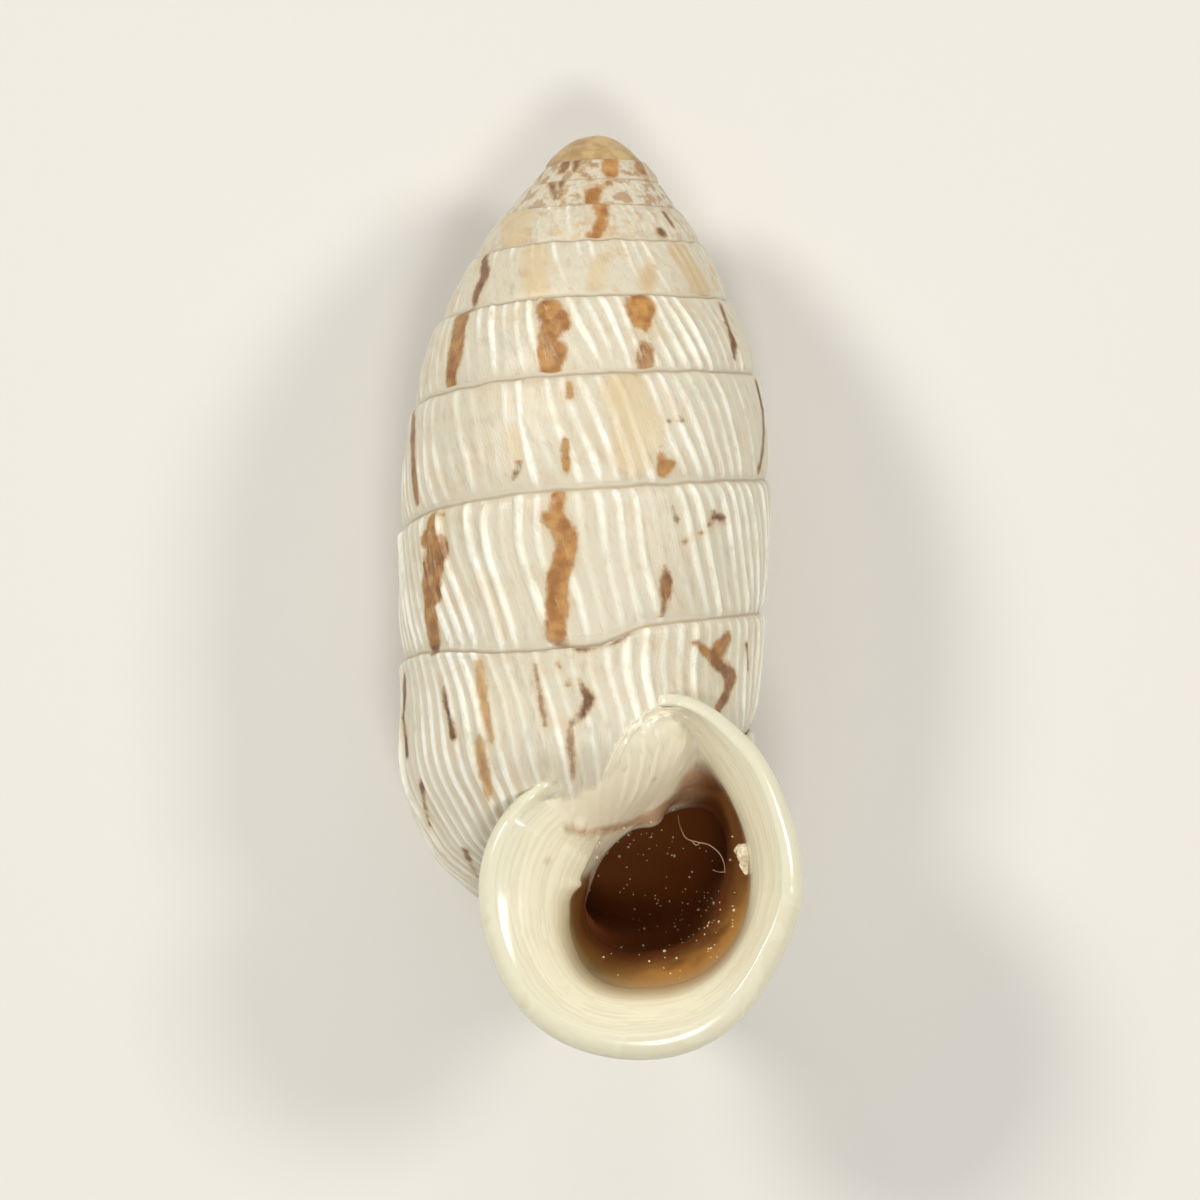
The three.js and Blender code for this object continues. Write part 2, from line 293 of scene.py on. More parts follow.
early = np.clip(2 * share_round, 0, 1)[:, None, None]
late = np.clip(2 * share_round - 1, 0, 1)[:, None, None]
between = BASE_PROFILES[0] * (1 - early) + BASE_PROFILES[1] * (early - late) + BASE_PROFILES[2] * late
pole = np.broadcast_to((0.0, BASE_POLE), (COLUMNS + 1, 1, 2))
base_curves = np.concatenate((wall[-1][:, None, :], between, pole), axis=1)
base_shares = np.linspace(0, 1, BASE_ROWS + 1)[1:]
base = np.stack([curve_through(base_curves, np.array(share)) for share in base_shares])
profile = np.concatenate((wall, base))
first, last = len(wall) - ROUNDED_ROWS, len(wall) + ROUNDED_ROWS
loose = 0.3 * smoothstep(0.1, 0.16, share_round) + 0.7 * smoothstep(0.28, 0.42, share_round)
for _ in range(ROUNDING_PASSES):
    middle = profile[first:last]
    beside = profile[first - 1 : last - 1] + profile[first + 1 : last + 1]
    profile[first:last] = middle + loose[None, :, None] * 0.5 * (beside / 2 - middle)
base_size = (BASE_ROWS, COLUMNS + 1)
turns = np.concatenate((turns, np.broadcast_to(WHORLS - 1 + share_round, base_size)))
downs = np.concatenate((downs, 1 + np.broadcast_to(base_shares[:, None], base_size)))
freedom = np.concatenate((freedom, np.broadcast_to(loosened, base_size)))

along = np.gradient(profile, axis=0)
across = np.stack((-along[..., 1], along[..., 0]), -1)
across /= np.maximum(np.linalg.norm(across, axis=-1, keepdims=True), 1e-9)
whorl_heights = envelope(turns)[..., 1] - envelope(turns + 1)[..., 1]
growths = growth_at(turns, downs, whorl_heights, profile[..., 0])
crests = rib_crest(growths, turns, downs)
upper_end, lower_end, base_end = (smoothstep(*ends, downs) for ends in RIB_ENDS)
depths = rib_depth(turns, downs) * (upper_end * (1 - (1 - freedom) * lower_end) * (1 - base_end))
relief = RIB_RISE * depths * (crests - WALL_LEVEL)
profile = profile + across * relief[..., None]
on_axis = profile[..., 0] < 0.05
profile[on_axis & (profile[..., 1] > SUTURE_PER_TURN[0, 1])] = (0.0, APEX_HEIGHT)

angles = math.tau * share_round[None]
places = np.stack(
    (profile[..., 0] * np.cos(angles), profile[..., 1], profile[..., 0] * np.sin(angles)), -1
)
# The wear that the shell lies on is flat.
places[..., 2] = np.maximum(places[..., 2], -REST_HEIGHT)

coil = woven(places)
thin_out(coil, COLUMNS + 1, 2, HALF_DENSITY_WHORLS * WHORL_ROWS * (COLUMNS + 1))
end_verts = {vert for edge in close_ends(coil, WELD) for vert in edge.verts}
end_outline = np.array([vert.co[:2] for vert in end_verts])
coil_sight = BVHTree.FromBMesh(coil)

coil_points = places.reshape(-1, 3)
bare = np.zeros(turns.size)
# How strongly each point is ribbed, from which the material paints shade into the grooves and a
# highlight onto the crests.
rib_shades = (crests * np.clip(depths * RIB_SHADE, 0, 1)).ravel()
coil_values = (turns.ravel(), downs.ravel(), growths.ravel(), rib_shades, bare, bare)


# Mouth
# The tube's last stretch runs straight forward and flares into a thick, rolled, porcelain-smooth
# lip. Its two ends meet over the wall of the whorl before, in a thin glaze called the callus.
# Inside the lip a funnel narrows to the throat, which is brown and nearly dark.

MOUTH_CENTRE = np.array((2.43, 5.02))
NECK = (3.05, 3.3, 4.5, 4.7, 3.3, 2.5, 2.55, 2.95, 3.35, 3.15, 3.1, 3.05)
LIP_EDGE = (4.25, 4.4, 5.0, 5.42, 3.75, 4.6, 4.98, 5.05, 5.2, 5.02, 4.64, 4.27)
THROAT = (2.76, 2.96, 3.44, 3.5, 2.8, 2.1, 2.18, 2.7, 3.1, 2.93, 2.87, 2.78)
INNER_WALL = (1.85, 2.4, 2.9, 2.05, 1.8, 1.78, 1.9, 2.3, 2.1, 1.75, 1.75, 1.8)
FUNNEL_END = (2.76, 2.96, 3.56, 4.78, 2.7, 2.0, 2.18, 2.7, 3.1, 2.93, 2.87, 2.78)
NECK_Z = 3.1
ROLL_WIDTH = (0.56, 0.5, 0.42, 0.34, 0.3, 0.34, 0.36, 0.42, 0.55, 0.66, 0.66, 0.6)
ROLL_RISE = 0.42
ROLL_Z = 4.53
ROLL_START = 40  # degrees below the lip's widest line
ROLL_START_IN = 0.234  # of its width
THROAT_Z = 3.35
FLOOR_Z = 0.8
ROOF_OVERLAP = 0.2
ROOF_HOURS = (2.1, 2.6, 5.3, 6.1)  # where the tube lies inside the whorl before
OUTER_HOURS = (-0.4, 0.5)  # from which the neck's outside is in the open and has ribs
NECK_REACH = 5.2  # from the axis
NECK_RIBS = (1.5, 1.4)  # how much stronger they and their shade are than on the whorls
FOLD = (0.13, 6.05, 0.13)  # depth, hour and width of the columella's fold
NOTCH = (0.06, 6.4, 0.2)  # and of the notch below it
CALLUS = 0.05
CALLUS_ROOT = 0.3  # how deep its edge starts in the wall
CALLUS_EDGE = (0, 0.24)
CALLUS_BEAD = (0.02, 0.26, 0.08)  # height, place and width of the bead along its edge
CRUST_PLACE = (2.3, 9.9)  # where the lip's right end heaps up in small layers
CRUST_SPREAD = 0.9
CRUST_RISE = 0.11
STEEP_WALL = (0.8, 0.4)
STEEP_DROP = 0.7  # how deep the callus is left in a wall that falls away steeply
UNDER_WALL = 1.1  # how deep the funnel runs in the whorl before
JOINT_WIDTH = 0.8  # over which the funnel and the callus run together
PARIETAL_HOURS = (2.75, 3.1, 4.3, 5.3)  # where the lip sinks into the wall and comes out again
FAR_BELOW = -9.0
LIP_SIDES = 200
FINE_WELD = 0.00002
NECK_RINGS, FLARE_RINGS, ROLL_RINGS, FUNNEL_RINGS, THROAT_RINGS = 42, 14, 15, 32, 26

hours = np.arange(LIP_SIDES + 1) % LIP_SIDES / LIP_SIDES * 12
facing = np.stack((np.cos(hours * math.pi / 6), np.sin(hours * math.pi / 6)), -1)


def clock(values):
    """A smooth closed curve through the values that it has at the twelve hours."""
    first = np.floor(hours).astype(int)
    t = hours - first
    before, start, end, after = (np.array(values)[(first + step) % 12] for step in (-1, 0, 1, 2))
    bend = 2 * before - 5 * start + 4 * end - after
    return start + t / 2 * (end - before + t * (bend + t * (3 * (start - end) + after - before)))


def swelling_at(height, hour, width):
    """A low swelling along the mouth's slope at one of the hours."""
    return height * np.exp(-(((hours - hour) / width) ** 2))


neck, throat, inner, funnel_end = (clock(values) for values in (NECK, THROAT, INNER_WALL, FUNNEL_END))
roll = clock(ROLL_WIDTH)
fold = swelling_at(*FOLD) - swelling_at(*NOTCH)
scallops = np.sin(hours * math.pi / 6 * 5 + 1) * smoothstep(5, 7, hours)
lip_edge = clock(LIP_EDGE) + 0.045 * scallops
outline = end_outline - MOUTH_CENTRE
outline_angles = np.arctan2(outline[:, 1], outline[:, 0])
end_radii = np.interp(
    hours * math.pi / 6,
    outline_angles[order := np.argsort(outline_angles)],
    np.linalg.norm(outline, axis=1)[order],
    period=math.tau,
)
end_radii = end_radii + ROOF_OVERLAP * plateau(ROOF_HOURS, hours)
outside = smoothstep(*OUTER_HOURS, facing[:, 0] - 0.25 * facing[:, 1])
sunk = plateau(PARIETAL_HOURS, hours)
neck_downs = 0.5 - 0.3 * facing[:, 1]

neck_ribs = [np.zeros_like(hours)]
rings = [(end_radii - 0.06, -0.3, 0.0, 0.0)]  # radii, z, how much of it is lip, how far into the funnel
for share in np.linspace(0, 1, NECK_RINGS):
    tube = end_radii + (neck - end_radii) * share**1.5
    turn = np.full_like(tube, WHORLS + share * NECK_Z / (math.tau * NECK_REACH))
    rib = rib_crest(turn, turn, neck_downs) - WALL_LEVEL
    ribbed = outside * smoothstep(0, 0.06, share) * (1 - smoothstep(0.75, 1, share))
    rings.append((tube + NECK_RIBS[0] * RIB_RISE * rib * ribbed, NECK_Z * share, 0.0, 0.0))
    neck_ribs.append(NECK_RIBS[1] * (rib + WALL_LEVEL) * ribbed)
flare_z = ROLL_Z - ROLL_RISE * math.sin(math.radians(ROLL_START))
for share in np.linspace(0, 1, FLARE_RINGS)[1:]:
    flared = neck + (lip_edge - roll * ROLL_START_IN - neck) * share
    lip_share = float(smoothstep(0, 0.8, share))
    rings.append((flared, NECK_Z + (flare_z - NECK_Z) * share**0.6, lip_share, 0.0))
for angle in np.radians(np.linspace(-ROLL_START, 90, ROLL_RINGS)[1:]):
    rolled = lip_edge - roll * (1 - math.cos(angle))
    rings.append((rolled, ROLL_Z + ROLL_RISE * math.sin(angle), 1.0, 0.0))
lip_top = ROLL_Z + ROLL_RISE
for share in np.linspace(0, 1, FUNNEL_RINGS)[1:]:
    inwards = 1 - (1 - share) ** 1.7
    slope = lip_edge - roll + (funnel_end - lip_edge + roll) * inwards
    slope -= fold * smoothstep(0.75, 1, inwards)
    fall = 0.8 * inwards**1.25 + 0.2 * inwards**8
    swell = 0.022 * wander(9 * inwards + hours * 0.25, 41) * inwards * (1 - inwards) * 4
    rings.append((slope, lip_top - (lip_top - THROAT_Z) * fall + swell, 1.0, inwards))
for share in np.linspace(0, 1, THROAT_RINGS)[1:]:
    drawn_in = throat - fold * (1 - share) + (inner - throat) * share**1.15
    drawn_in = drawn_in + (funnel_end - throat) * (1 - smoothstep(0, 0.25, share))
    rings.append((drawn_in, THROAT_Z - (THROAT_Z - FLOOR_Z) * share, 1.0, 1 + share))

all_round = np.zeros_like(hours)
ring_radii, ring_z, ring_lip, ring_in = (
    np.array([ring[part] + all_round for ring in rings]) for part in range(4)
)
ring_ribs = np.zeros_like(ring_radii)
ring_ribs[: len(neck_ribs)] = neck_ribs
flat = MOUTH_CENTRE + ring_radii[..., None] * facing


def wall_height(point):
    """How high the wall of the whorls stands under a point of the mouth, seen from the front."""
    hit, normal, _, _ = coil_sight.ray_cast(Vector((point[0], point[1], 12.0)), Vector((0, 0, -1)))
    return (hit.z, abs(normal.z)) if hit else (FAR_BELOW, 0.0)


front = ring_lip > 0
wall_z, wall_slope = np.full_like(ring_z, FAR_BELOW), np.zeros_like(ring_z)
wall_z[front], wall_slope[front] = np.array([wall_height(point) for point in flat[front]]).T
neighbours = np.roll(wall_z, 1, 1) + np.roll(wall_z, -1, 1)
neighbours[1:] += wall_z[:-1]
neighbours[:-1] += wall_z[1:]
softened = np.where((wall_z > 1) & (ring_in > 0), 0.5 * wall_z + 0.125 * neighbours, wall_z)
softened = np.where(np.abs(softened - wall_z) < 0.3, softened, wall_z)
buried = np.minimum(ring_z, wall_z - 0.08)
ring_z = np.where((wall_z > 0) & (ring_in == 0), ring_z + (buried - ring_z) * sunk, ring_z)
under_wall = np.where(wall_z > 0, wall_z, ring_z) - UNDER_WALL
ring_z = np.where(ring_in > 0, ring_z + (np.minimum(ring_z, under_wall) - ring_z) * sunk, ring_z)
bead_height, bead_place, bead_width = CALLUS_BEAD
thickness = (CALLUS + CALLUS_ROOT) * smoothstep(*CALLUS_EDGE, ring_in) - CALLUS_ROOT
thickness += bead_height * np.exp(-(((ring_in - bead_place) / bead_width) ** 2))
from_crust = np.hypot(flat[..., 0] - CRUST_PLACE[0], flat[..., 1] - CRUST_PLACE[1])
crust = CRUST_RISE * np.exp(-((from_crust / CRUST_SPREAD) ** 2))
thickness += crust * wander(flat[..., 0] * 9, 51) * wander(flat[..., 1] * 8, 52)
thickness += (-STEEP_DROP - thickness) * smoothstep(*STEEP_WALL, wall_slope)
callus_z = softened + thickness
joint = JOINT_WIDTH / 4 * np.clip(1 - np.abs(ring_z - callus_z) / JOINT_WIDTH, 0, 1) ** 2
ring_z = np.where(ring_in > 0, np.maximum(ring_z, callus_z) + joint, ring_z)

mouth_rows = np.concatenate((flat, ring_z[..., None]), axis=-1)
mouth_points = mouth_rows.reshape(-1, 3)
mouth = woven(mouth_rows)
close_ends(mouth, FINE_WELD)

CAVITY_TURNS = 0.65  # how far the hollow is followed behind the mouth
CAVITY_TAPER = 0.56
CAVITY_END = 0.85  # of its length, where it begins to round off
CAVITY_RINGS = 60
LAST_WHORL_PITCH = 3.9
hollow_rings, hollow_in = [], []
for z in (1.0, 0.6, 0.3):
    ring = MOUTH_CENTRE + (inner[:, None] + 0.02) * facing
    hollow_rings.append(np.column_stack((ring, np.full(LIP_SIDES + 1, z))))
    hollow_in += [2.0] * (LIP_SIDES + 1)
for back in np.linspace(0, CAVITY_TURNS, CAVITY_RINGS):
    rounding = math.sqrt(1 - smoothstep(CAVITY_END, 1, back / CAVITY_TURNS) ** 2 * 0.98)
    size = (1 - CAVITY_TAPER * back) * rounding
    reach = MOUTH_CENTRE[0] + size * inner * facing[:, 0]
    height = MOUTH_CENTRE[1] + LAST_WHORL_PITCH * back + size * inner * facing[:, 1]
    turned = -math.tau * back
    hollow_rings.append(np.column_stack((reach * math.cos(turned), height, reach * math.sin(turned))))
    hollow_in += [2 + 0.6 * smoothstep(0.0, 0.12, back)] * (LIP_SIDES + 1)
hollow_rows = np.array(hollow_rings[::-1])
hollow_points = hollow_rows.reshape(-1, 3)
hollow = woven(hollow_rows)
thin_out(hollow, LIP_SIDES + 1, 4, len(hollow_points))
close_ends(hollow, WELD)

TOOTH = (2.15, 7.2, 1.25)
GLAZE_FILLS = (  # middles and half sizes of the tooth and of a corner that glaze fills
    (TOOTH, (0.55, 0.5, 0.9)),
    ((0.16, 6.78, 3.05), (0.34, 0.34, 0.34)),
)
tooth = bmesh.new()
for middle, half_size in GLAZE_FILLS:
    filled = Matrix.Translation(middle) @ Matrix.Diagonal((*half_size, 1))
    bmesh.ops.create_icosphere(tooth, subdivisions=4, radius=1, matrix=filled)


def as_object(name, shape):
    bmesh.ops.triangulate(shape, faces=[face for face in shape.faces if len(face.verts) > 3])
    mesh = bpy.data.meshes.new(name)
    shape.to_mesh(mesh)
    piece = bpy.data.objects.new(name, mesh)
    bpy.context.scene.collection.objects.link(piece)
    return piece


shell = as_object("cerion_shell", coil)
tools = [
    ("UNION", as_object("mouth_form", mouth)),
    ("DIFFERENCE", as_object("hollow_form", hollow)),
    ("UNION", as_object("tooth_form", tooth)),
]
for operation, form in tools:
    joining = shell.modifiers.new(form.name, "BOOLEAN")
    joining.operation = operation
    joining.solver = "MANIFOLD"
    joining.object = form
graph = bpy.context.evaluated_depsgraph_get()
shell.data = bpy.data.meshes.new_from_object(shell.evaluated_get(graph))
shell.modifiers.clear()
for _, form in tools:
    bpy.data.objects.remove(form)


# Markings
# Brown flames run down each whorl about every seventh or ninth of a turn, where the mantle laid
# down pigment in the wall. They are in the shell itself, flush with it, with wavering edges.
# Those on the side away from the picture go on in the same rhythm.

WALL_MARKS = (  # how pale, then picture points down the mark with half widths, in pixels
    (0.6, (610, 160, 5), (610, 172, 5)), (0.3, (566, 162, 3), (563, 170, 3)),
    (0.3, (577, 160, 3), (575, 170, 2)), (0.4, (635, 158, 2), (641, 170, 3)),
    (0.3, (551, 180, 2.5), (556, 198, 2.5)), (0.3, (562, 180, 2), (560, 198, 2.5)),
    (0.5, (593, 192, 6), (592, 203, 6)), (0.4, (609, 183, 3)),
    (0.6, (600, 206, 6), (603, 220, 6), (597, 235, 5), (590, 236, 3)),
    (1.0, (518, 213, 8), (515, 234, 10)), (0.1, (664, 213, 1.5), (672, 225, 1.5)),
    (0.2, (662, 233, 3)), (0.2, (485, 258, 2.5), (485, 275, 3), (479, 287, 3), (475, 303, 2)),
    (1.1, (535, 250, 8), (537, 288, 9)), (1.2, (599, 260, 4), (596, 285, 5)),
    (0.9, (648, 272, 4), (648, 284, 5)), (0.9, (680, 252, 7), (700, 286, 9)),
    (0.4, (462, 316, 6), (458, 340, 6), (453, 365, 6), (451, 380, 6)),
    (0.5, (548, 309, 10), (556, 322, 13), (546, 338, 8), (552, 352, 14), (550, 368, 11)),
    (0.6, (640, 306, 13), (642, 320, 8), (645, 331, 2)), (0.4, (645, 349, 8), (645, 362, 9)),
    (0.1, (721, 306, 1.5), (727, 324, 2.5), (734, 340, 2.5), (734, 356, 2)),
    (0.3, (414, 412, 2.5), (413, 440, 3), (414, 475, 3), (417, 500, 2.5)),
    (0.7, (569, 384, 4), (569, 396, 4)), (0.5, (565, 440, 3), (566, 455, 5), (566, 470, 4)),
    (0.2, (514, 476, 4), (520, 464, 2)), (1.1, (512, 432, 4), (517, 455, 5)),
    (0.5, (661, 455, 4), (664, 468, 8), (672, 462, 3)),
    (1.3, (625, 390, 16), (640, 430, 22), (632, 458, 14)),
    (0.1, (757, 384, 2), (763, 415, 2.5), (759, 470, 2)),
    (0.0, (668, 421, 1.3), (676, 418, 1.5), (683, 420, 1.3)),
    (0.4, (441, 516, 3), (432, 518, 5), (428, 530, 6), (425, 541, 4)),
    (0.4, (432, 540, 7), (437, 553, 12), (432, 571, 9), (430, 590, 9), (429, 611, 8), (436, 646, 6)),
    (0.6, (557, 497, 7), (556, 508, 7)),
    (0.5, (546, 517, 6), (556, 521, 10), (565, 534, 12), (567, 547, 9.5), (562, 563, 10.5)),
    (0.5, (562, 563, 10.5), (557, 580, 11.5), (557, 600, 10), (557, 617, 9), (556, 631, 12)),
    (0.3, (665, 566, 2), (667, 585, 7), (664, 605, 5), (659, 624, 2)),
    (0.1, (673, 507, 1.3), (676, 520, 2)), (0.0, (684, 543, 1.5), (700, 533, 1.5), (713, 520, 2.5)),
    (0.1, (714, 516, 4), (722, 519, 4)), (0.0, (482, 508, 1.8)),
    (0.1, (405, 680, 3), (404, 715, 3.5), (406, 752, 3)),
    (0.0, (443, 688, 2), (448, 712, 2.5), (453, 737, 2.5)),
    (0.8, (479, 664, 4), (482, 690, 5), (487, 715, 4), (491, 740, 3)),
    (0.8, (480, 740, 3), (485, 770, 6), (488, 798, 3)),
    (0.3, (535, 665, 2), (541, 700, 2.5), (545, 728, 1.5)), (0.3, (557, 664, 3), (561, 668, 2)),
    (0.2, (569, 683, 3.5)), (0.2, (580, 681, 3), (588, 699, 6), (583, 716, 4), (571, 722, 2)),
    (0.3, (571, 722, 2), (570, 750, 2.5), (573, 780, 2)), (0.9, (551, 742, 2), (557, 780, 2.5)),
    (0, (546, 641, 1.2), (563, 647, 2.2), (579, 650, 2.2))
    + ((600, 647, 1.4), (620, 641, 1.6), (630, 634, 1)),
    (0.0, (436, 650, 4)), (0.4, (695, 643, 4), (703, 650, 4), (713, 658, 4)),
    (0.4, (728, 636, 4), (720, 648, 5), (713, 658, 5)),
    (0.3, (713, 658, 5), (722, 668, 5), (730, 677, 5), (727, 692, 4), (718, 710, 3)),
    (0.0, (747, 645, 1.2), (748, 668, 1.3)), (0.2, (422, 784, 2), (431, 827, 1.5)),
    (0.2, (464, 850, 2), (478, 878, 1.5)),
)
MOUTH_MARKS = (
    (0.85, (566, 829, 1), (585, 834, 2), (612, 829, 3), (640, 822, 6)),
    (0.75, (640, 820, 5), (663, 810, 7), (684, 797, 8), (697, 779, 6), (699, 765, 3)),
    (0.0, (547, 861, 1.3)),
    (0.0, (653, 781, 1.2)),
)
ROOF_EDGE = (
    ((-0.5, 7.2), (0.1, 6.6), (0.84, 6.21), (1.6, 6.6))
    + ((2.15, 6.75), (2.62, 7.2), (3.4, 7.9), (3.75, 8.5))
)
EASING_PASSES = 24
STAIN_PASSES = 12
FACING_PASSES = 4
ROOF_GLAZE = ((0.85, 0.4), (-0.4, 0.2))  # how it fades from the roof's edge and downwards
FLOOR_FADE = (0.9, 0.5)
TOOTH_REACH = 1.0
GLAZE_DEPTHS = (0.4, 0.16)  # of the glaze over the whorl before, by the tooth and elsewhere
GLAZE_START = 0.12  # of the way from the lip's edge to the throat
GLAZE_LOWEST_Z = 0.25
THROAT_START = 0.93
THROAT_LOWEST_Z = -1.5
CORNER_HOURS = (4.1, 4.6, 5.5, 6.0)  # where the throat's brown starts deeper in
FLAMES_PER_TURN = 8.5
FLAME_WIDTHS = (0.09, 0.27)
FLAME_SPANS = ((0.03, 0.97), (0.03, 0.97), (0.05, 0.5), (0.45, 0.96))
FLAME_LINKS = 8
HIDDEN_SIDE = (0.53, 0.97)  # share of a turn, from the picture's left edge round the back
FAR_OFF = 9.0

joined = bmesh.new()
joined.from_mesh(shell.data)
bmesh.ops.triangulate(joined, faces=[face for face in joined.faces if len(face.verts) > 3])
surface = np.array([vert.co for vert in joined.verts])  # the shell's points
links = np.array([[vert.index for vert in edge.verts] for edge in joined.edges])
link_counts = np.bincount(links.ravel(), minlength=len(surface))


def eased(values):
    """Each point's value, moved half of the way to the mean of its neighbours' values."""
    total = np.bincount(links[:, 0], values[links[:, 1]], len(values))
    total += np.bincount(links[:, 1], values[links[:, 0]], len(values))
    return 0.5 * values + 0.5 * total / np.maximum(link_counts, 1)


def chain_distance(points, chain):
    """Distance to a chain of (place, half width) links, less the half width there."""
    if len(chain) == 1:
        return np.linalg.norm(points - chain[0][0], axis=1) - chain[0][1]
    best = np.full(len(points), FAR_OFF)
    for (start, start_width), (end, end_width) in zip(chain, chain[1:]):
        along = end - start
        share = np.clip((points - start) @ along / max(along @ along, 1e-9), 0, 1)
        gap = np.linalg.norm(points - start - share[:, None] * along, axis=1)
        best = np.minimum(best, gap - start_width - (end_width - start_width) * share)
    return best


roof = [(np.array(place), 0.0) for place in ROOF_EDGE]
roof_gap = chain_distance(surface[:, :2], roof)
glazed_over = smoothstep(*ROOF_GLAZE[0], roof_gap) * smoothstep(*ROOF_GLAZE[1], surface[:, 2])
from_centre = surface[:, :2] - MOUTH_CENTRE
hour_at = np.arctan2(from_centre[:, 1], from_centre[:, 0]) / (math.pi / 6) % 12
floor_gap = np.hypot(
    np.linalg.norm(from_centre, axis=1) - np.interp(hour_at, hours, inner, period=12),
    surface[:, 2] - FLOOR_Z,
)
softness = np.maximum(glazed_over, smoothstep(*FLOOR_FADE, floor_gap))
for _ in range(EASING_PASSES):
    softer = np.stack([eased(surface[:, axis]) for axis in range(3)], -1)
    surface += softness[:, None] * (softer - surface)
for vert, place in zip(joined.verts, surface):
    vert.co = place
shell_sight = BVHTree.FromBMesh(joined)

neck_turns = (WHORLS + np.clip(ring_z, 0, NECK_Z) / (math.tau * NECK_REACH)).ravel()
all_neck_downs = np.broadcast_to(neck_downs, ring_z.shape).ravel()
mouth_values = [values.ravel() for values in (ring_ribs, ring_lip, ring_in)]
hollow_values = [np.full(len(hollow_points), value) for value in (WHORLS, 0.5, WHORLS, 0, 1)]
sources = (  # places, turns, downs, growth, relief, lip, how far into the mouth
    (coil_points, *coil_values),
    (mouth_points, neck_turns, all_neck_downs, neck_turns, *mouth_values),
    (hollow_points, *hollow_values, np.array(hollow_in[::-1])),
)
source_tree = KDTree(sum(len(source[0]) for source in sources))
for index, place in enumerate(place for source in sources for place in source[0]):
    source_tree.insert(place, index)
source_tree.balance()
nearest = np.array([source_tree.find(vert.co)[1] for vert in joined.verts])
turn_at, down_at, laid_at, relief_at, lip_at, inside_at = (
    np.concatenate([source[part] for source in sources])[nearest] for part in range(1, 7)
)

from_centre = surface[:, :2] - MOUTH_CENTRE
radius_at = np.linalg.norm(from_centre, axis=1)
divisor = np.maximum(radius_at, 0.1)
rim_at = np.interp(hour_at, hours, lip_edge - roll, period=12)
end_at = np.interp(hour_at, hours, funnel_end, period=12)
within = (rim_at - radius_at) / np.maximum(rim_at - end_at, 0.2)
off_coil = np.array([coil_sight.find_nearest(vert.co)[3] for vert in joined.verts])
by_tooth = np.linalg.norm(surface - np.array(TOOTH), axis=1) < TOOTH_REACH
on_callus = (off_coil < np.where(by_tooth, *GLAZE_DEPTHS)) & (within > GLAZE_START)
on_callus &= surface[:, 2] > GLAZE_LOWEST_Z
on_callus &= (hour_at < 5.2) | (within < 1.1)
joined.normal_update()
normals = np.array([vert.normal for vert in joined.verts])
inward = -np.sum(normals[:, :2] * from_centre, axis=1) / divisor
upward = normals[:, 2]
for _ in range(FACING_PASSES):
    upward = eased(upward)
# Callus that faces downwards is moved along the lip's tones: painted light set by the way it faces.
faces_down_painted_light = smoothstep(0.1, -0.2, upward)
inside_at = np.where(on_callus, np.clip(within, 0.03, 0.9) + 0.25 * faces_down_painted_light, inside_at)
lip_at = np.where(on_callus, np.maximum(lip_at, smoothstep(GLAZE_START, 0.2, within)), lip_at)
in_throat = (within > THROAT_START) & ~on_callus & (inward > -0.2)
in_throat &= (surface[:, 2] < THROAT_Z) & (surface[:, 2] > THROAT_LOWEST_Z)
sunken = 1 + np.clip((THROAT_Z - surface[:, 2]) / (THROAT_Z - FLOOR_Z), 0, 1)
inside_at = np.where(in_throat, np.maximum(inside_at, sunken), inside_at)
lip_at = np.where(in_throat, 1, lip_at)

mark_gap = np.full(len(surface), 2.0)
mark_tone = np.full(len(surface), 0.5)


def add_mark(tone, chain, allowed):
    """Colour the allowed points near a chain, and keep the mark that each lies deepest in."""
    gap = np.where(allowed, chain_distance(surface, chain), FAR_OFF)
    deeper = gap < mark_gap
    mark_gap[deeper] = gap[deeper]
    mark_tone[deeper] = tone


def seen_at(px, py, half_width):
    """A place that the picture shows, and the half width in mm that a mark has there."""
    sight = sight_line(px, py)
    hit, normal, _, _ = shell_sight.ray_cast(camera_point, sight)
    return (np.array(hit), half_width / PX_PER_MM / max(0.4, -normal @ sight)) if hit else None


on_wall = inside_at < 0.02
for marks, in_mouth in ((WALL_MARKS, False), (MOUTH_MARKS, True)):
    for tone, *picture_points in marks:
        chain = [link for link in (seen_at(*mark) for mark in picture_points) if link]
        middle = turn_at[np.argmin(np.linalg.norm(surface - chain[len(chain) // 2][0], axis=1))]
        same_whorl = np.abs(turn_at - middle) < 0.5
        add_mark(tone, chain, ~on_wall if in_mouth else on_wall & same_whorl)

for whorl in range(2, WHORLS):
    flame_count = round(FLAMES_PER_TURN * (HIDDEN_SIDE[1] - HIDDEN_SIDE[0]))
    for step in range(flame_count):
        share = (step + 0.5 + chance.uniform(-0.25, 0.25)) / flame_count
        flame_turn = whorl + HIDDEN_SIDE[0] + (HIDDEN_SIDE[1] - HIDDEN_SIDE[0]) * share
        radius = envelope(np.array(flame_turn))[0]
        size = chance.uniform(*FLAME_WIDTHS) * min(1, radius / 4)
        top, bottom = chance.choice(FLAME_SPANS)
        chain = []
        for down in np.linspace(top, bottom, FLAME_LINKS):
            swing = (0.28 * wander(down * 7, step + 31 * whorl) - 0.2 * down) / (math.tau * radius)
            spot_radius, spot_height = envelope(np.array(flame_turn + swing + down))
            spot_radius *= 1 + 0.8 * WHORL_BULGE
            angle = math.tau * (flame_turn + swing)
            width = size * (1 + 0.55 * wander(down * 9, 7 * step + whorl))
            spot = (spot_radius * math.cos(angle), spot_height, spot_radius * math.sin(angle))
            chain.append((np.array(spot), width))
        add_mark(chance.uniform(0.1, 0.8), chain, on_wall & (np.abs(turn_at - flame_turn) < 0.5))

